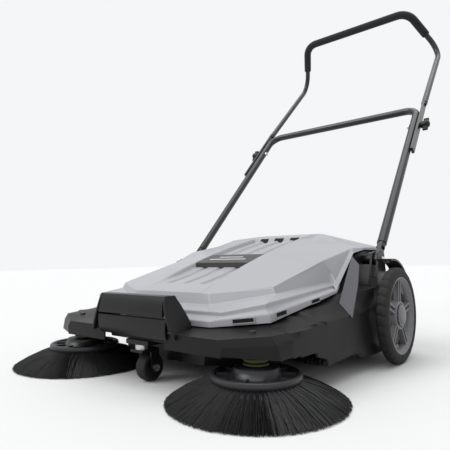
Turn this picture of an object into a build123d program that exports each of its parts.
"""Walk-behind sweeper with two side brushes, a roller brush and a lift-off dirt container.

Millimetres. +Z is up, the machine travels towards -Y and the operator walks on the +Y side,
so the operator's left is +X. The origin is under the middle of the machine, on the floor.
"""
from build123d import *
import math
import os

os.makedirs("parts", exist_ok=True)

# ---------------------------------------------------------------- driving dimensions
AXLE_Y = -97.9                  # wheel axle, from the middle of the overall length
WHEEL_R = 100.0
WHEEL_OUTER_X = 335.0
TYRE_WIDTH = 24.0
RIM_R = 81.5
HUB_R = 30.0
SLEEVE_R = 12.0
AXLE_R = 7.0
RUNNING_GAP = 0.05              # radial clearance of a shaft in its bush

WALL = 3.0                      # moulded wall of chassis, hood and dirt container
SIDE_X = 300.0                  # outer side wall of the chassis at the wheels
BODY_X = 246.0                  # outer side wall of the raised body under the hood
DECK_Z = 160.0                  # flat top of the chassis beside the wheels

MODULE = 2.5                    # drive gear and pinion
GEAR_TEETH = 60
PINION_TEETH = 36
GEAR_X = 230.0                  # inner face of the gear pair
GEAR_WIDTH = 10.0
PRESSURE_ANGLE = math.radians(20)
TOOTH_PLAY = 0.35               # how much thinner each tooth is than half the pitch

ROLLER_Z = 60.0
ROLLER_R = 59.5
ROLLER_CORE_R = 22.0
ROLLER_SHAFT_R = 8.0

BRUSH_X = 229.7
BRUSH_Y = AXLE_Y - 387.0
BRUSH_DISC_R = 72.5
BRUSH_TIP_R = 145.5
SPINDLE_R = 6.0
BRUSH_PULLEY_R = 21.0
BELT_R = 3.0
BELT_Z = 65.0
BRUSH_BELT_R = 17.5             # belt centre line on the side brush pulley
WHEEL_BELT_R = 42.0             # belt centre line on the wheel pulley
WHEEL_BELT_X = 288.0

CASTER_R = 26.0
CASTER_TRAIL = 18.0
CASTER_Y = AXLE_Y - 421.0       # swivel axis
CASTER_WHEEL_Y = CASTER_Y + CASTER_TRAIL

PIVOT = (278.0, AXLE_Y + 19.0, 217.0)
PIVOT_BOLT_R = 4.0
LEG_R = 11.0
LEG_WALL = 1.5
CROSSBAR = (262.0, AXLE_Y + 448.0, 674.0)
CROSSBAR_BEND = 40.0
CLAMP_AT = 0.848                # clamp bolt, as a part of the lower leg's length
CLAMP_BOLT_R = 4.0
UPPER_R = 9.0
UPPER_WALL = 1.4
UPPER_BEND = (266.5, AXLE_Y + 742.6, 962.8)
GRIP_CORNER = (197.0, AXLE_Y + 617.7, 1080.6)
UPPER_BEND_R = 55.0
GRIP_R = 13.5



def save(builder, name):
    """Label the finished piece and write it as its own file."""
    builder.part.label = name
    export_step(builder.part, f"parts/{name}.step")


def save_pair(builder, name, seat=None):
    """Write the left piece and its mirror image on the right, trimmed to the seat it rests on."""
    save(builder, f"{name}_left")
    with BuildPart() as right:
        mirror(builder.part, about=Plane.YZ)
        if seat:
            add(seat.part, mode=Mode.SUBTRACT)
    save(right, f"{name}_right")


def save_group(builder, name, seat=None):
    """Write a piece and its mirror image in one file, as a group of separate solids."""
    with BuildPart() as group:
        add(builder.part)
        mirror(builder.part, about=Plane.YZ)
        if seat:
            add(seat.part, mode=Mode.SUBTRACT)
    save(group, name)


def across(y):
    """Upright plane across the machine, y behind the wheel axle."""
    return Plane.XZ.offset(-(AXLE_Y + y))


def station_loft(stations, mode=Mode.ADD):
    """Flat-faced solid through outlines that are the same on both sides of the middle.

    Each station is (y behind the axle, points of the left-hand side from the bottom up).
    """
    sections = []
    for y, side in stations:
        outline = side + [(-x, z) for x, z in reversed(side)]
        with BuildSketch(across(y)) as section:
            with BuildLine():
                Polyline(*outline, close=True)
            make_face()
        sections.append(section.sketch)
    loft(sections, ruled=True, mode=mode)


def turned(points, centre, mode=Mode.ADD):
    """Solid of revolution about a line along X through centre; points are (x, radius)."""
    x0, y0, z0 = centre
    with BuildSketch(Plane(origin=(x0, y0, z0), x_dir=(1, 0, 0), z_dir=(0, -1, 0))) as profile:
        with BuildLine():
            Polyline(*points, close=True)
        make_face()
    revolve(profile.sketch, axis=Axis((x0, y0, z0), (1, 0, 0)), mode=mode)


def spun(points, x0, y0, mode=Mode.ADD):
    """Solid of revolution about an upright line at (x0, y0); points are (radius, z)."""
    with BuildSketch(Plane(origin=(x0, y0, 0), x_dir=(1, 0, 0), z_dir=(0, -1, 0))) as profile:
        with BuildLine():
            Polyline(*points, close=True)
        make_face()
    revolve(profile.sketch, axis=Axis((x0, y0, 0), (0, 0, 1)), mode=mode)


def rod_x(x_from, x_to, radius, y, z, mode=Mode.ADD):
    """Round bar along X."""
    with BuildSketch(Plane(origin=(x_from, y, z), x_dir=(0, 1, 0), z_dir=(1, 0, 0))) as end:
        Circle(radius)
    extrude(end.sketch, amount=x_to - x_from, dir=(1, 0, 0), mode=mode)


def block(x_range, y_range, z_range, mode=Mode.ADD):
    """Box between two corners."""
    size = [hi - lo for lo, hi in (x_range, y_range, z_range)]
    middle = tuple((hi + lo) / 2 for lo, hi in (x_range, y_range, z_range))
    with Locations(middle):
        Box(*size, mode=mode)


def side_plate(x_from, x_to, outline, mode=Mode.ADD):
    """Plate standing fore and aft; outline points are (y behind the axle, z)."""
    with BuildSketch(Plane(origin=(x_from, AXLE_Y, 0), x_dir=(0, 1, 0), z_dir=(1, 0, 0))) as face:
        with BuildLine():
            Polyline(*outline, close=True)
        make_face()
    extrude(face.sketch, amount=x_to - x_from, dir=(1, 0, 0), mode=mode)


def along(start, end, length_part):
    """Point part of the way from start to end."""
    return tuple(a + (b - a) * length_part for a, b in zip(start, end))


def spur_outline(teeth, phase):
    """Closed outline of an involute spur gear; phase turns a tooth to that angle."""
    pitch_r = MODULE * teeth / 2
    base_r = pitch_r * math.cos(PRESSURE_ANGLE)
    tip_r = pitch_r + MODULE
    root_r = pitch_r - 1.25 * MODULE
    half_tooth = (math.pi * MODULE / 2 - TOOTH_PLAY) / 2 / pitch_r
    involute = math.tan(PRESSURE_ANGLE) - PRESSURE_ANGLE
    flank_r = [max(base_r, root_r) + (tip_r - max(base_r, root_r)) * k / 4 for k in range(5)]
    flank = []
    for r in flank_r:
        roll = math.acos(min(1, base_r / r))
        flank.append((r, half_tooth + involute - (math.tan(roll) - roll)))
    if base_r > root_r:
        flank.insert(0, (root_r, flank[0][1]))
    points = []
    for tooth in range(teeth):
        middle = phase + 2 * math.pi * tooth / teeth
        for r, half in flank:
            points.append((r * math.cos(middle - half), r * math.sin(middle - half)))
        for r, half in reversed(flank):
            points.append((r * math.cos(middle + half), r * math.sin(middle + half)))
    return points


# ---------------------------------------------------------------- hood profile
HOOD_CROWN = ((-350, 160), (-131, 234), (108, 287))     # top line: front, middle, rear


def crown_z(y):
    """Height of the hood's top line at y behind the axle, on a parabola through its points."""
    (y0, z0), (y1, z1), (y2, z2) = HOOD_CROWN
    slope = (z1 - z0) / (y1 - y0)
    bend = ((z2 - z1) / (y2 - y1) - slope) / (y2 - y0)
    return z0 + slope * (y - y0) + bend * (y - y0) * (y - y1)


def deck_stations(inset):
    """Top of the hood: foot, wall, deck edge, channel edge at each station, pulled in by inset."""
    front_y, rear_y = -353 + inset, 136 - inset
    rows = [
        (front_y, (106, 122), (106, 139), (100, 160), crown_z(-350)),
        (-298, (212, 140), (212, 159), (205, 170.5), crown_z(-298)),
        (-112, (222, 160), (222, 170), (215, 217), crown_z(-112)),
        (-30, (240, 240), (240, 243), (190, 252), crown_z(-30)),
        (51, (250, 240), (250, 245), (148, 277), crown_z(51)),
        (108, (250, 240), (248, 247), (100, 286), crown_z(108)),
        (rear_y, (246, 232), (244, 240), (100, 262), 264),
    ]
    stations = []
    for y, foot, wall, edge, crown in rows:
        points = [(foot[0] - inset, foot[1] - 3 * inset), (wall[0] - inset, wall[1] - inset)]
        points += [(edge[0] - inset, edge[1] - inset), (80 - inset, crown - inset)]
        stations.append((y, points))
    return stations


LEDGE_STATIONS = [
    (-376, [(150, 123), (150, 132), (60, 130)]),
    (-352, [(228, 136), (228, 149), (108, 140)]),
    (-117, [(236, 157), (236, 167.5), (222, 170)]),
    (-98, [(237, 178), (237, 184), (222, 186)]),
]
RIM_STATIONS = [
    (-389, [(135, 106), (135, 116.5), (60, 115)]),
    (-351, [(235, 117), (235, 131), (110, 125)]),
    (-132, [(250, 152), (250, 157), (200, 158)]),
    (-112, [(244, 160), (244, 168), (200, 168)]),
]

# ---------------------------------------------------------------- dirt container: hood
BADGE_PLANE = Plane(origin=(0, AXLE_Y - 161, crown_z(-161)), x_dir=(1, 0, 0),
                    z_dir=(0, -0.318, 0.948))
VENT_PLANE = Plane(origin=(0, AXLE_Y + 84, crown_z(84)), x_dir=(1, 0, 0), z_dir=(0, -0.21, 0.978))
with BuildPart() as hood_cover:
    station_loft(deck_stations(0))
    station_loft(LEDGE_STATIONS)
    station_loft(RIM_STATIONS)
    station_loft(deck_stations(WALL), mode=Mode.SUBTRACT)
    # hollow under the rim and the ledge, open below
    station_loft([
        (-386, [(130, 90), (130, 113), (60, 112)]),
        (-350, [(231, 90), (231, 127), (110, 121)]),
        (-134, [(246, 90), (246, 153), (200, 154)]),
        (-113, [(240, 90), (240, 163), (200, 164)]),
    ], mode=Mode.SUBTRACT)
    station_loft([
        (-373, [(147, 110), (147, 129), (60, 127)]),
        (-350, [(225, 120), (225, 146), (105, 137)]),
        (-117, [(233, 150), (233, 164), (219, 167)]),
        (-99, [(234, 160), (234, 180), (219, 183)]),
    ], mode=Mode.SUBTRACT)
    # recess for the badge and the row of air slots at the back of the channel
    with BuildSketch(BADGE_PLANE):
        Rectangle(154, 62)
    extrude(amount=-1.5, mode=Mode.SUBTRACT)
    with BuildSketch(VENT_PLANE):
        with GridLocations(48, 1, 3, 1):
            RectangleRounded(26, 10, 3)
    extrude(amount=12, both=True, mode=Mode.SUBTRACT)
save(hood_cover, "hood_cover")

with BuildPart() as hood_badge:
    with BuildSketch(BADGE_PLANE.offset(-1.5)):
        Rectangle(153.6, 61.6)
    extrude(amount=1.8)
save(hood_badge, "hood_badge")

with BuildPart() as vent_insert:
    with BuildSketch(VENT_PLANE.offset(-6)):
        Rectangle(150, 22)
    extrude(amount=3)
    add(hood_cover.part, mode=Mode.SUBTRACT)
save(vent_insert, "vent_insert")

# tub of the dirt container: open top and a mouth at the back where the roller throws in
TUB_FRONT, TUB_BACK, TUB_X, TUB_FLOOR = -364.0, -186.0, 198.0, 33.0
with BuildPart() as dirt_tub:
    station_loft([
        (TUB_FRONT, [(100, TUB_FLOOR), (112, 118)]),
        (TUB_FRONT + 60, [(TUB_X - 12, TUB_FLOOR), (TUB_X, 130)]),
        (TUB_BACK, [(TUB_X - 12, TUB_FLOOR), (TUB_X, 150)]),
    ])
    station_loft([
        (TUB_FRONT + WALL, [(97, TUB_FLOOR + WALL), (110, 121)]),
        (TUB_FRONT + 60, [(TUB_X - 15, TUB_FLOOR + WALL), (TUB_X - 2.5, 133)]),
        (TUB_BACK - WALL, [(TUB_X - 15, TUB_FLOOR + WALL), (TUB_X - 2.5, 153)]),
    ], mode=Mode.SUBTRACT)
    block((-TUB_X + 18, TUB_X - 18), (AXLE_Y + TUB_BACK - 8, AXLE_Y + TUB_BACK + 8), (62, 132),
          mode=Mode.SUBTRACT)
    # arms that carry the tub from the underside of the hood's shoulders
    for arm_side in (-1, 1):
        side_plate(arm_side * 196.5 - 2.5, arm_side * 196.5 + 2.5,
                   [(-250, 110), (-205, 110), (-205, 189.5), (-250, 179.5)])
    add(hood_cover.part, mode=Mode.SUBTRACT)
save(dirt_tub, "dirt_tub")

# ---------------------------------------------------------------- chassis
LOWER_TUB = [
    (-444, [(204, 72), (206, 88), (198, 99), (60, 99)]),
    (-405, [(288, 72), (282, 93), (270, 106), (60, 101)]),
    (-372, [(290, 70), (288, 98), (276, 110), (60, 104)]),
    (-350, [(290, 68), (289, 108), (238, 114), (60, 110)]),
    (-300, [(292, 60), (292, 114), (240, 123), (60, 120)]),
    (-268, [(294, 40), (294, 114), (243, 128), (60, 126)]),
    (-132, [(298, 33), (298, 116), (250, 149), (60, 148)]),
    (-66, [(SIDE_X, 28), (SIDE_X, DECK_Z), (BODY_X, DECK_Z), (60, DECK_Z)]),
    (130, [(SIDE_X, 28), (SIDE_X, DECK_Z), (BODY_X, DECK_Z), (60, DECK_Z)]),
]
RAISED_BODY = [
    (-126, [(244, 120), (244, 142), (60, 143)]),
    (-104, [(245, 120), (245, 158), (200, 160)]),
    (-32, [(BODY_X, 120), (BODY_X, 226), (150, 228)]),
    (14, [(BODY_X, 120), (BODY_X, 236), (150, 238)]),
    (130, [(BODY_X, 120), (BODY_X, 228), (150, 232)]),
]


def hollowed(stations, floor):
    """The same stations pulled in by the wall, with the foot dropped to floor."""
    rows = []
    for number, (y, points) in enumerate(stations):
        shift = WALL if number == 0 else -WALL if number == len(stations) - 1 else 0
        inner = [(points[0][0] - WALL, floor)]
        inner += [(x - WALL, z - WALL) for x, z in points[1:]]
        rows.append((y + shift, inner))
    return rows


SCREW_AT = (228.5, AXLE_Y - 394)
with BuildPart() as chassis_shell:
    station_loft(LOWER_TUB[:2])
    station_loft(LOWER_TUB[1:])
    station_loft(RAISED_BODY)
    lower_hollow = hollowed(LOWER_TUB, -10)
    station_loft(lower_hollow[:2], mode=Mode.SUBTRACT)
    station_loft(lower_hollow[1:], mode=Mode.SUBTRACT)
    station_loft(hollowed(RAISED_BODY, 100), mode=Mode.SUBTRACT)
    # opening that the dirt container drops into
    with BuildSketch(Plane.XY.offset(90)):
        with BuildLine():
            Polyline((-118, AXLE_Y - 372), (118, AXLE_Y - 372), (206, AXLE_Y - 309),
                     (206, AXLE_Y - 176), (-206, AXLE_Y - 176), (-206, AXLE_Y - 309), close=True)
        make_face()
    extrude(amount=90, mode=Mode.SUBTRACT)
    # caster bay in the middle of the front
    block((-82, 82), (AXLE_Y - 460, AXLE_Y - 424), (40, 130), mode=Mode.SUBTRACT)
    block((-82, 82), (AXLE_Y - 427, AXLE_Y - 424), (78, 101))
    for side_sign in (-1, 1):
        rod_x(side_sign * 298.5 - 8, side_sign * 298.5 + 8, 34, AXLE_Y, WHEEL_R, mode=Mode.SUBTRACT)
        rod_x(side_sign * BODY_X - 8, side_sign * BODY_X + 8, PIVOT_BOLT_R, PIVOT[1], PIVOT[2],
              mode=Mode.SUBTRACT)
        with Locations((side_sign * SCREW_AT[0], SCREW_AT[1], 105)):
            Cylinder(2.5, 30, mode=Mode.SUBTRACT)
save(chassis_shell, "chassis_shell")

with BuildPart() as fairing_screw:
    with Locations((*SCREW_AT, 103)):
        Cylinder(2.5, 12)
    with Locations((*SCREW_AT, 107)):
        Cylinder(5.5, 5)
    add(chassis_shell.part, mode=Mode.SUBTRACT)
save_group(fairing_screw, "fairing_screws", seat=chassis_shell)

with BuildPart() as rear_flap:
    block((-240, 240), (AXLE_Y + 130, AXLE_Y + 133), (12, 70))
save(rear_flap, "rear_flap")

# ---------------------------------------------------------------- front carry handle
with BuildPart() as carry_handle:
    for plate_side in (-1, 1):
        plate_sections = []
        for x, y, z, depth in ((86.5, -436, 160, 24), (99.5, -420, 118, 56), (104, -420, 101.5, 58)):
            with BuildSketch(Plane(origin=(0, AXLE_Y, z))) as cut:
                with Locations((plate_side * x, y)):
                    Rectangle(5, depth)
            plate_sections.append(cut.sketch)
        loft(plate_sections, ruled=True)
    side_plate(-86, 86, [(-448, 158), (-444, 161), (-426, 160), (-424, 156), (-426, 152),
                         (-441, 152), (-446, 127), (-452, 124), (-454, 127)])
    add(chassis_shell.part, mode=Mode.SUBTRACT)
save(carry_handle, "carry_handle")

# panel under the bar, screwed to the front wall of the chassis
with BuildPart() as front_panel:
    block((-99, 99), (AXLE_Y - 447, AXLE_Y - 444), (86, 124))
    add(carry_handle.part, mode=Mode.SUBTRACT)
    add(chassis_shell.part, mode=Mode.SUBTRACT)
save(front_panel, "front_panel")

# ---------------------------------------------------------------- side gussets
GUSSET_CORNERS = [(252, -59, 226), (275, -77, 207), (289, -121, 166), (301, -180, 112),
                  (266, -158, 135)]
with BuildPart() as side_gusset:
    gusset_points = [Vector(x, AXLE_Y + y, z) for x, y, z in GUSSET_CORNERS]
    gusset_edge = gusset_points[3] - gusset_points[0]
    gusset_normal = (gusset_points[4] - gusset_points[0]).cross(gusset_edge)
    gusset_plane = Plane(origin=gusset_points[0], x_dir=gusset_edge, z_dir=gusset_normal)
    local_corners = [gusset_plane.to_local_coords(p) for p in gusset_points]
    with BuildSketch(gusset_plane):
        with BuildLine():
            Polyline(*[(p.X, p.Y) for p in local_corners], close=True)
        make_face()
    extrude(amount=-3)
    add(chassis_shell.part, mode=Mode.SUBTRACT)
save_pair(side_gusset, "side_gusset", seat=chassis_shell)

# ---------------------------------------------------------------- side frames, axle and hangers
ROLLER_DROP = WHEEL_R - ROLLER_Z
ROLLER_Y = -math.sqrt((MODULE * (GEAR_TEETH + PINION_TEETH) / 2) ** 2 - ROLLER_DROP ** 2)
FRAME_X, FRAME_WALL, BUSH_R = 248.0, 4.0, 15.0
FRAME_OUTLINE = [(-140, 60), (-140, 40), (-128, 30), (-98, 30), (-20, 76), (30, 76), (40, 90),
                 (40, 157), (-60, 157), (-75, 146), (-130, 100)]
with BuildPart() as side_frame:
    side_plate(FRAME_X, FRAME_X + FRAME_WALL, FRAME_OUTLINE)
    rod_x(FRAME_X - 1, FRAME_X + 5, BUSH_R, AXLE_Y, WHEEL_R, mode=Mode.SUBTRACT)
    rod_x(FRAME_X - 1, FRAME_X + 5, BUSH_R - 3, AXLE_Y + ROLLER_Y, ROLLER_Z, mode=Mode.SUBTRACT)
save_pair(side_frame, "side_frame")

with BuildPart() as wheel_bush:
    turned([(-2, SLEEVE_R + RUNNING_GAP), (6, SLEEVE_R + RUNNING_GAP), (6, BUSH_R + 3),
            (4, BUSH_R + 3), (4, BUSH_R), (-2, BUSH_R)], (FRAME_X, AXLE_Y, WHEEL_R))
save_group(wheel_bush, "wheel_bushes")

with BuildPart() as roller_bush:
    turned([(-2, ROLLER_SHAFT_R + RUNNING_GAP), (6, ROLLER_SHAFT_R + RUNNING_GAP),
            (6, BUSH_R), (4, BUSH_R), (4, BUSH_R - 3), (-2, BUSH_R - 3)],
           (FRAME_X, AXLE_Y + ROLLER_Y, ROLLER_Z))
save_group(roller_bush, "roller_bushes")

AXLE_HALF = WHEEL_OUTER_X - 5
with BuildPart() as wheel_axle:
    rod_x(-AXLE_HALF, AXLE_HALF, AXLE_R, AXLE_Y, WHEEL_R)
save(wheel_axle, "wheel_axle")

with BuildPart() as axle_hanger:
    side_plate(150, 156, [(-16, 84), (16, 84), (24, 130), (40, 235), (-20, 229), (-24, 130)])
    rod_x(149, 157, AXLE_R, AXLE_Y, WHEEL_R, mode=Mode.SUBTRACT)
    add(chassis_shell.part, mode=Mode.SUBTRACT)
save_group(axle_hanger, "axle_hangers", seat=chassis_shell)

# ---------------------------------------------------------------- handle brackets
CHEEK_IN, CHEEK_OUT = 4.9, 9.4
with BuildPart() as handle_bracket:
    for cheek_x in (PIVOT[0] - CHEEK_OUT, PIVOT[0] + CHEEK_IN):
        side_plate(cheek_x, cheek_x + CHEEK_OUT - CHEEK_IN,
                   [(-16, DECK_Z), (48, DECK_Z), (44, 186), (36, 232), (24, 236), (2, 232),
                    (-6, 200)])
    side_plate(PIVOT[0] - CHEEK_OUT, PIVOT[0] + CHEEK_OUT,
               [(-16, DECK_Z), (48, DECK_Z), (45, 178), (-12, 178)])
    rod_x(BODY_X, PIVOT[0] - CHEEK_OUT, 10, PIVOT[1], PIVOT[2])
    rod_x(PIVOT[0] - 14, PIVOT[0] - CHEEK_OUT, 15, PIVOT[1], PIVOT[2])
    # guard over the front of the tyre, carried by the outer cheek
    guard_plane = Plane(origin=(PIVOT[0] + CHEEK_OUT, AXLE_Y, WHEEL_R), x_dir=(0, 1, 0),
                        z_dir=(1, 0, 0))
    with BuildSketch(guard_plane):
        with BuildLine():
            guard_top = CenterArc((0, 0), 119, 50, 46)
            guard_under = CenterArc((0, 0), 115, 50, 46)
            Line(guard_top @ 0, guard_under @ 0)
            Line(guard_top @ 1, guard_under @ 1)
        make_face()
    extrude(amount=32)
    rod_x(PIVOT[0] + CHEEK_OUT, PIVOT[0] + 22, 9.5, PIVOT[1], PIVOT[2], mode=Mode.SUBTRACT)
    rod_x(BODY_X - 1, PIVOT[0] + 11, PIVOT_BOLT_R, PIVOT[1], PIVOT[2], mode=Mode.SUBTRACT)
save_pair(handle_bracket, "handle_bracket")

with BuildPart() as pivot_bolt:
    rod_x(BODY_X - WALL - 4, PIVOT[0] + 16, PIVOT_BOLT_R, PIVOT[1], PIVOT[2])
    with BuildSketch(Plane(origin=(PIVOT[0] + CHEEK_OUT, PIVOT[1], PIVOT[2]), x_dir=(0, 1, 0),
                           z_dir=(1, 0, 0))):
        RegularPolygon(7.5, 6)
    extrude(amount=5)
    rod_x(BODY_X - WALL - 8, BODY_X - WALL, 8, PIVOT[1], PIVOT[2])
save_group(pivot_bolt, "pivot_bolts")

# ---------------------------------------------------------------- drive wheels
HUB_IN, HUB_OUT = WHEEL_OUTER_X - TYRE_WIDTH, WHEEL_OUTER_X - 4
WHEEL_CENTRE = (0, AXLE_Y, WHEEL_R)
with BuildPart() as wheel_rim:
    turned([(HUB_IN, AXLE_R + RUNNING_GAP), (HUB_OUT, AXLE_R + RUNNING_GAP), (HUB_OUT, HUB_R),
            (HUB_IN, HUB_R)], WHEEL_CENTRE)
    turned([(HUB_IN, 70), (WHEEL_OUTER_X - 1, 70), (WHEEL_OUTER_X - 1, RIM_R), (HUB_IN, RIM_R)],
           WHEEL_CENTRE)
    with BuildSketch(Plane(origin=(HUB_IN + 5, AXLE_Y, WHEEL_R), x_dir=(0, 1, 0), z_dir=(1, 0, 0))):
        with PolarLocations(50, 5, start_angle=85):
            Rectangle(46, 15)
    extrude(amount=10)
save_pair(wheel_rim, "wheel_rim")

with BuildPart() as tyre:
    turned([(HUB_IN, RIM_R), (WHEEL_OUTER_X, RIM_R), (WHEEL_OUTER_X, 92), (WHEEL_OUTER_X - 6, 100),
            (HUB_IN + 6, 100), (HUB_IN, 92)], WHEEL_CENTRE)
save_pair(tyre, "tyre")

with BuildPart() as hub_cap:
    turned([(HUB_OUT, 0), (HUB_OUT, 22.6), (HUB_OUT + 3, 22.6), (HUB_OUT + 6, 15), (HUB_OUT + 8, 0)],
           WHEEL_CENTRE)
save_pair(hub_cap, "hub_cap")

with BuildPart() as drive_sleeve:
    turned([(GEAR_X - 4, AXLE_R + RUNNING_GAP), (HUB_IN, AXLE_R + RUNNING_GAP), (HUB_IN, SLEEVE_R),
            (GEAR_X - 4, SLEEVE_R)], WHEEL_CENTRE)
save_pair(drive_sleeve, "drive_sleeve")

with BuildPart() as belt_pulley:
    turned([(-11, SLEEVE_R), (7, SLEEVE_R), (7, WHEEL_BELT_R + 4), (5, WHEEL_BELT_R + 4),
            (3, WHEEL_BELT_R - 3.4), (-3, WHEEL_BELT_R - 3.4), (-9, WHEEL_BELT_R + 4),
            (-11, WHEEL_BELT_R + 4)], (WHEEL_BELT_X, AXLE_Y, WHEEL_R))
save_pair(belt_pulley, "belt_pulley")

mesh_angle = math.atan2(-ROLLER_DROP, ROLLER_Y)
with BuildPart() as drive_gear:
    with BuildSketch(Plane(origin=(GEAR_X, AXLE_Y, WHEEL_R), x_dir=(0, 1, 0), z_dir=(1, 0, 0))):
        with BuildLine():
            Polyline(*spur_outline(GEAR_TEETH, mesh_angle), close=True)
        make_face()
        Circle(SLEEVE_R, mode=Mode.SUBTRACT)
        with PolarLocations(40, 6):
            Circle(14, mode=Mode.SUBTRACT)
    extrude(amount=GEAR_WIDTH)
save(drive_gear, "drive_gear")

# ---------------------------------------------------------------- roller brush
ROLLER_CENTRE = (0, AXLE_Y + ROLLER_Y, ROLLER_Z)
with BuildPart() as roller_shaft:
    rod_x(-FRAME_X - 6, FRAME_X + 6, ROLLER_SHAFT_R, ROLLER_CENTRE[1], ROLLER_Z)
save(roller_shaft, "roller_shaft")

with BuildPart() as roller_core:
    turned([(-216, ROLLER_SHAFT_R), (216, ROLLER_SHAFT_R), (216, ROLLER_CORE_R),
            (-216, ROLLER_CORE_R)], ROLLER_CENTRE)
save(roller_core, "roller_core")

with BuildPart() as roller_bristles:
    turned([(-210, ROLLER_CORE_R), (210, ROLLER_CORE_R), (212, ROLLER_R), (-212, ROLLER_R)],
           ROLLER_CENTRE)
save(roller_bristles, "roller_bristles")

with BuildPart() as roller_pinion:
    pinion_plane = Plane(origin=(GEAR_X, ROLLER_CENTRE[1], ROLLER_Z), x_dir=(0, 1, 0),
                         z_dir=(1, 0, 0))
    with BuildSketch(pinion_plane):
        with BuildLine():
            Polyline(*spur_outline(PINION_TEETH, mesh_angle + math.pi + math.pi / PINION_TEETH),
                     close=True)
        make_face()
        Circle(ROLLER_SHAFT_R, mode=Mode.SUBTRACT)
    extrude(amount=GEAR_WIDTH)
save(roller_pinion, "roller_pinion")

# ---------------------------------------------------------------- side brushes
with BuildPart() as brush_disc:
    spun([(SPINDLE_R, 34), (70, 34), (BRUSH_DISC_R, 37), (BRUSH_DISC_R, 43), (70, 46), (66, 46),
          (63.5, 41.4), (42, 41.4), (37, 49), (37, 55), (16, 57.5), (SPINDLE_R, 57.5)],
         BRUSH_X, BRUSH_Y)
save_pair(brush_disc, "brush_disc")

with BuildPart() as brush_bristles:
    spun([(48, 34), (70, 34), (BRUSH_TIP_R, 3), (BRUSH_TIP_R, 0), (112, 0), (48, 28)],
         BRUSH_X, BRUSH_Y)
save_pair(brush_bristles, "brush_bristles")

with BuildPart() as brush_spindle:
    spun([(0, 32), (10, 32), (10, 34), (SPINDLE_R, 34), (SPINDLE_R, 92), (0, 92)], BRUSH_X, BRUSH_Y)
save_pair(brush_spindle, "brush_spindle")

with BuildPart() as brush_pulley:
    spun([(SPINDLE_R, 57.5), (BRUSH_PULLEY_R, 57.5), (BRUSH_PULLEY_R, 60),
          (BRUSH_BELT_R - 3.4, BELT_Z - 3), (BRUSH_BELT_R - 3.4, BELT_Z + 3),
          (BRUSH_PULLEY_R, 71.6), (BRUSH_PULLEY_R, 72.6), (SPINDLE_R, 72.6)], BRUSH_X, BRUSH_Y)
save_pair(brush_pulley, "brush_pulley")

with BuildPart() as spindle_boss:
    spun([(0, 74), (16, 74), (18, 103.5), (0, 103.5)], BRUSH_X, BRUSH_Y)
    spun([(0, 73), (SPINDLE_R + RUNNING_GAP, 73), (SPINDLE_R + RUNNING_GAP, 94), (0, 94)],
         BRUSH_X, BRUSH_Y, mode=Mode.SUBTRACT)
    add(chassis_shell.part, mode=Mode.SUBTRACT)
    add(fairing_screw.part, mode=Mode.SUBTRACT)
save_group(spindle_boss, "spindle_bosses", seat=chassis_shell)

# Round belt that turns the side brush from the wheel, quarter-twisted between the two pulleys.
# Each run leaves both pulleys along a tangent.
belt_reach = math.hypot(BRUSH_Y - AXLE_Y, WHEEL_R - BELT_Z)
belt_fall = math.atan2(WHEEL_R - BELT_Z, AXLE_Y - BRUSH_Y)
wheel_wrap = math.acos(WHEEL_BELT_R / belt_reach)
with BuildPart() as drive_belt:
    run_ends = []
    for above in (1, -1):
        angle = math.pi + belt_fall - above * wheel_wrap
        wheel_end = (WHEEL_BELT_X, AXLE_Y + WHEEL_BELT_R * math.cos(angle),
                     WHEEL_R + WHEEL_BELT_R * math.sin(angle))
        across_x, across_y = WHEEL_BELT_X - BRUSH_X, wheel_end[1] - BRUSH_Y
        leave = math.atan2(across_y, across_x)
        leave -= above * math.acos(BRUSH_BELT_R / math.hypot(across_x, across_y))
        brush_end = (BRUSH_X + BRUSH_BELT_R * math.cos(leave),
                     BRUSH_Y + BRUSH_BELT_R * math.sin(leave), BELT_Z)
        run_ends.append((wheel_end, angle, brush_end, leave))
        with BuildLine() as run:
            Line(wheel_end, brush_end)
        with BuildSketch(Plane(origin=wheel_end, z_dir=run.line % 0)) as run_end:
            Circle(BELT_R)
        sweep(run_end.sketch, path=run.line)
    # round the wheel pulley, by the rear
    top_end, top_angle = run_ends[0][:2]
    with BuildSketch(Plane(origin=top_end, x_dir=(1, 0, 0),
                           z_dir=(0, math.sin(top_angle), -math.cos(top_angle)))) as wheel_ring:
        Circle(BELT_R)
    revolve(wheel_ring.sketch, axis=Axis((WHEEL_BELT_X, AXLE_Y, WHEEL_R), (-1, 0, 0)),
            revolution_arc=math.degrees(2 * math.pi - 2 * wheel_wrap))
    # round the brush pulley, by the front
    outer_end, outer_angle = run_ends[0][2:]
    inner_angle = run_ends[1][3]
    with BuildSketch(Plane(origin=outer_end, x_dir=(0, 0, 1),
                           z_dir=(math.sin(outer_angle), -math.cos(outer_angle), 0))) as brush_ring:
        Circle(BELT_R)
    revolve(brush_ring.sketch, axis=Axis((BRUSH_X, BRUSH_Y, BELT_Z), (0, 0, -1)),
            revolution_arc=math.degrees(2 * math.pi + outer_angle - inner_angle))
save_pair(drive_belt, "drive_belt")

# ---------------------------------------------------------------- caster
with BuildPart() as caster_mount:
    block((-30, 30), (AXLE_Y - 434, AXLE_Y - 384), (70, 78))
    block((-30, 30), (AXLE_Y - 424, AXLE_Y - 384), (78, 100))
    with Locations((0, CASTER_Y, 74)):
        Cylinder(5 + RUNNING_GAP, 8.2, mode=Mode.SUBTRACT)
    add(chassis_shell.part, mode=Mode.SUBTRACT)
save(caster_mount, "caster_mount")

with BuildPart() as caster_stem:
    spun([(0, 61), (13, 61), (13, 69.5), (5, 69.5), (5, 77), (0, 77)], 0, CASTER_Y)
save(caster_stem, "caster_stem")

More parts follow.
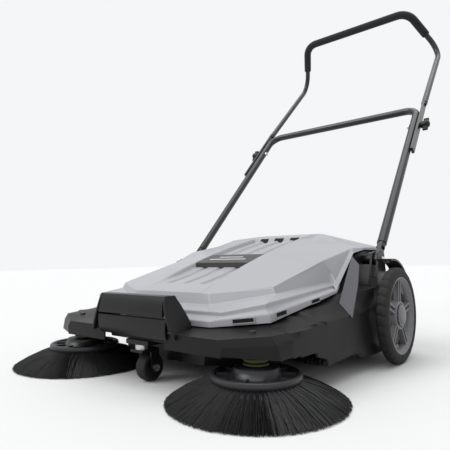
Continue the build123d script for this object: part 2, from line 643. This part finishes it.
with BuildPart() as caster_fork:
    block((-16.5, 16.5), (CASTER_Y - 14, CASTER_WHEEL_Y + 8), (56, 61))
    for arm_x in (-16.5, 13.5):
        side_plate(arm_x, arm_x + 3, [(-414, 56), (-395, 56), (-393, 30), (-397, 19), (-409, 19),
                                      (-413, 30)])
    rod_x(-18, 18, 4, CASTER_WHEEL_Y, CASTER_R, mode=Mode.SUBTRACT)
save(caster_fork, "caster_fork")

with BuildPart() as caster_wheel:
    turned([(-12.5, 4 + RUNNING_GAP), (12.5, 4 + RUNNING_GAP), (12.5, 9), (11, 9), (11, 19),
            (-11, 19), (-11, 9), (-12.5, 9)], (0, CASTER_WHEEL_Y, CASTER_R))
save(caster_wheel, "caster_wheel")

with BuildPart() as caster_tyre:
    turned([(-12, 19), (12, 19), (12, 23), (9, CASTER_R), (-9, CASTER_R), (-12, 23)],
           (0, CASTER_WHEEL_Y, CASTER_R))
save(caster_tyre, "caster_tyre")

with BuildPart() as caster_bolt:
    rod_x(-16.5, 19, 4, CASTER_WHEEL_Y, CASTER_R)
    rod_x(-20, -16.5, 7, CASTER_WHEEL_Y, CASTER_R)
    with BuildSketch(Plane(origin=(16.5, CASTER_WHEEL_Y, CASTER_R), x_dir=(0, 1, 0),
                           z_dir=(1, 0, 0))):
        RegularPolygon(7, 6)
    extrude(amount=4)
save(caster_bolt, "caster_bolt")

# ---------------------------------------------------------------- lower handle
LEG = Vector(*CROSSBAR) - Vector(*PIVOT)
LEG_DIR = LEG.normalized()
TONGUE_LENGTH, TONGUE_HALF = 50.0, 4.4
tube_start = Vector(*PIVOT) + LEG_DIR * TONGUE_LENGTH


def mirrored(point):
    """The same point on the other side of the middle."""
    return (-point[0], point[1], point[2])


with BuildPart() as lower_handle:
    start = tuple(tube_start)
    with BuildLine() as leg_path:
        FilletPolyline(start, CROSSBAR, mirrored(CROSSBAR), mirrored(start), radius=CROSSBAR_BEND)
    with BuildSketch(Plane(origin=start, z_dir=LEG_DIR)) as leg_ring:
        Circle(LEG_R)
        Circle(LEG_R - LEG_WALL, mode=Mode.SUBTRACT)
    sweep(leg_ring.sketch, path=leg_path.line)
    clamp_point = along(PIVOT, CROSSBAR, CLAMP_AT)
    rod_x(-300, 300, CLAMP_BOLT_R, clamp_point[1], clamp_point[2], mode=Mode.SUBTRACT)
save(lower_handle, "lower_handle")

# tongue at the foot of the leg: normal to X so that it turns between the bracket's cheeks
tongue_plane = Plane(origin=PIVOT, x_dir=(0, LEG_DIR.Y, LEG_DIR.Z), z_dir=(1, 0, 0))
with BuildPart() as leg_end:
    with BuildSketch(tongue_plane.offset(-TONGUE_HALF)):
        with Locations((TONGUE_LENGTH / 2 - 1, 0)):
            Rectangle(TONGUE_LENGTH - 4, 20)
        Circle(12)
    extrude(amount=2 * TONGUE_HALF)
    with BuildSketch(Plane(origin=tuple(tube_start - LEG_DIR * 14), z_dir=LEG_DIR)) as plug_end:
        Circle(LEG_R - LEG_WALL)
    extrude(plug_end.sketch, amount=44, dir=LEG_DIR)
    rod_x(250, 300, PIVOT_BOLT_R + RUNNING_GAP, PIVOT[1], PIVOT[2], mode=Mode.SUBTRACT)
save_group(leg_end, "leg_ends")

# ---------------------------------------------------------------- clamp and upper handle
BAR_HALF, BAR_GAP = 3.5, 1.2
BAR_SHIFT = LEG_R + BAR_GAP + BAR_HALF
BAR_X = clamp_point[0] + BAR_SHIFT
with BuildPart() as clamp_bolt:
    rod_x(clamp_point[0] - LEG_R - 4, BAR_X + 24, CLAMP_BOLT_R, clamp_point[1], clamp_point[2])
    rod_x(clamp_point[0] - LEG_R - 4, clamp_point[0] - LEG_R, 7, clamp_point[1], clamp_point[2])
    add(lower_handle.part, mode=Mode.SUBTRACT)
save_group(clamp_bolt, "clamp_bolts")

bar_origin = Vector(BAR_X, clamp_point[1], clamp_point[2])
bar_normal = (Vector(1, 0, 0) - LEG_DIR * LEG_DIR.X).normalized()
bar_plane = Plane(origin=bar_origin, x_dir=LEG_DIR, z_dir=bar_normal)
BAR_DOWN, BAR_UP = 124.0, 122.0
upper_start = bar_origin + LEG_DIR * BAR_UP
upper_dir = (Vector(*UPPER_BEND) - upper_start).normalized()
with BuildPart() as upper_end:
    with BuildSketch(bar_plane.offset(-BAR_HALF)):
        with Locations(((BAR_UP - BAR_DOWN) / 2 - 0.5, 0)):
            Rectangle(BAR_DOWN + BAR_UP - 1, 19)
    extrude(amount=2 * BAR_HALF)
    with BuildSketch(Plane(origin=tuple(upper_start - upper_dir * 10), z_dir=upper_dir)) as plug:
        Circle(UPPER_R - UPPER_WALL)
    extrude(plug.sketch, amount=36, dir=upper_dir)
    rod_x(250, 300, CLAMP_BOLT_R + RUNNING_GAP, clamp_point[1], clamp_point[2],
          mode=Mode.SUBTRACT)
save_group(upper_end, "upper_ends")

with BuildPart() as upper_handle:
    start = tuple(upper_start)
    with BuildLine() as upper_path:
        FilletPolyline(start, UPPER_BEND, GRIP_CORNER, mirrored(GRIP_CORNER),
                       mirrored(UPPER_BEND), mirrored(start), radius=UPPER_BEND_R)
    with BuildSketch(Plane(origin=start, z_dir=upper_dir)) as upper_ring:
        Circle(UPPER_R)
        Circle(UPPER_R - UPPER_WALL, mode=Mode.SUBTRACT)
    sweep(upper_ring.sketch, path=upper_path.line)
save(upper_handle, "upper_handle")

foam_start = along(UPPER_BEND, GRIP_CORNER, 0.42)
with BuildPart() as grip_foam:
    with BuildLine() as foam_path:
        FilletPolyline(foam_start, GRIP_CORNER, mirrored(GRIP_CORNER), mirrored(foam_start),
                       radius=UPPER_BEND_R)
    with BuildSketch(Plane(origin=foam_start, z_dir=foam_path.line % 0)) as foam_ring:
        Circle(GRIP_R)
        Circle(UPPER_R, mode=Mode.SUBTRACT)
    sweep(foam_ring.sketch, path=foam_path.line)
save(grip_foam, "grip_foam")

with BuildPart() as clamp_knob:
    turned([(BAR_HALF + 0.6, CLAMP_BOLT_R + RUNNING_GAP), (30, CLAMP_BOLT_R + RUNNING_GAP),
            (30, 8), (26, 11), (12, 11), (BAR_HALF + 0.6, 8)],
           (BAR_X, clamp_point[1], clamp_point[2]))
    knob_plane = Plane(origin=(BAR_X + 11, clamp_point[1], clamp_point[2]), x_dir=(0, 1, 0),
                       z_dir=(1, 0, 0))
    with BuildSketch(knob_plane):
        SlotOverall(46, 10, rotation=60)
        Circle(CLAMP_BOLT_R + RUNNING_GAP, mode=Mode.SUBTRACT)
    extrude(amount=15)
save_pair(clamp_knob, "clamp_knob")
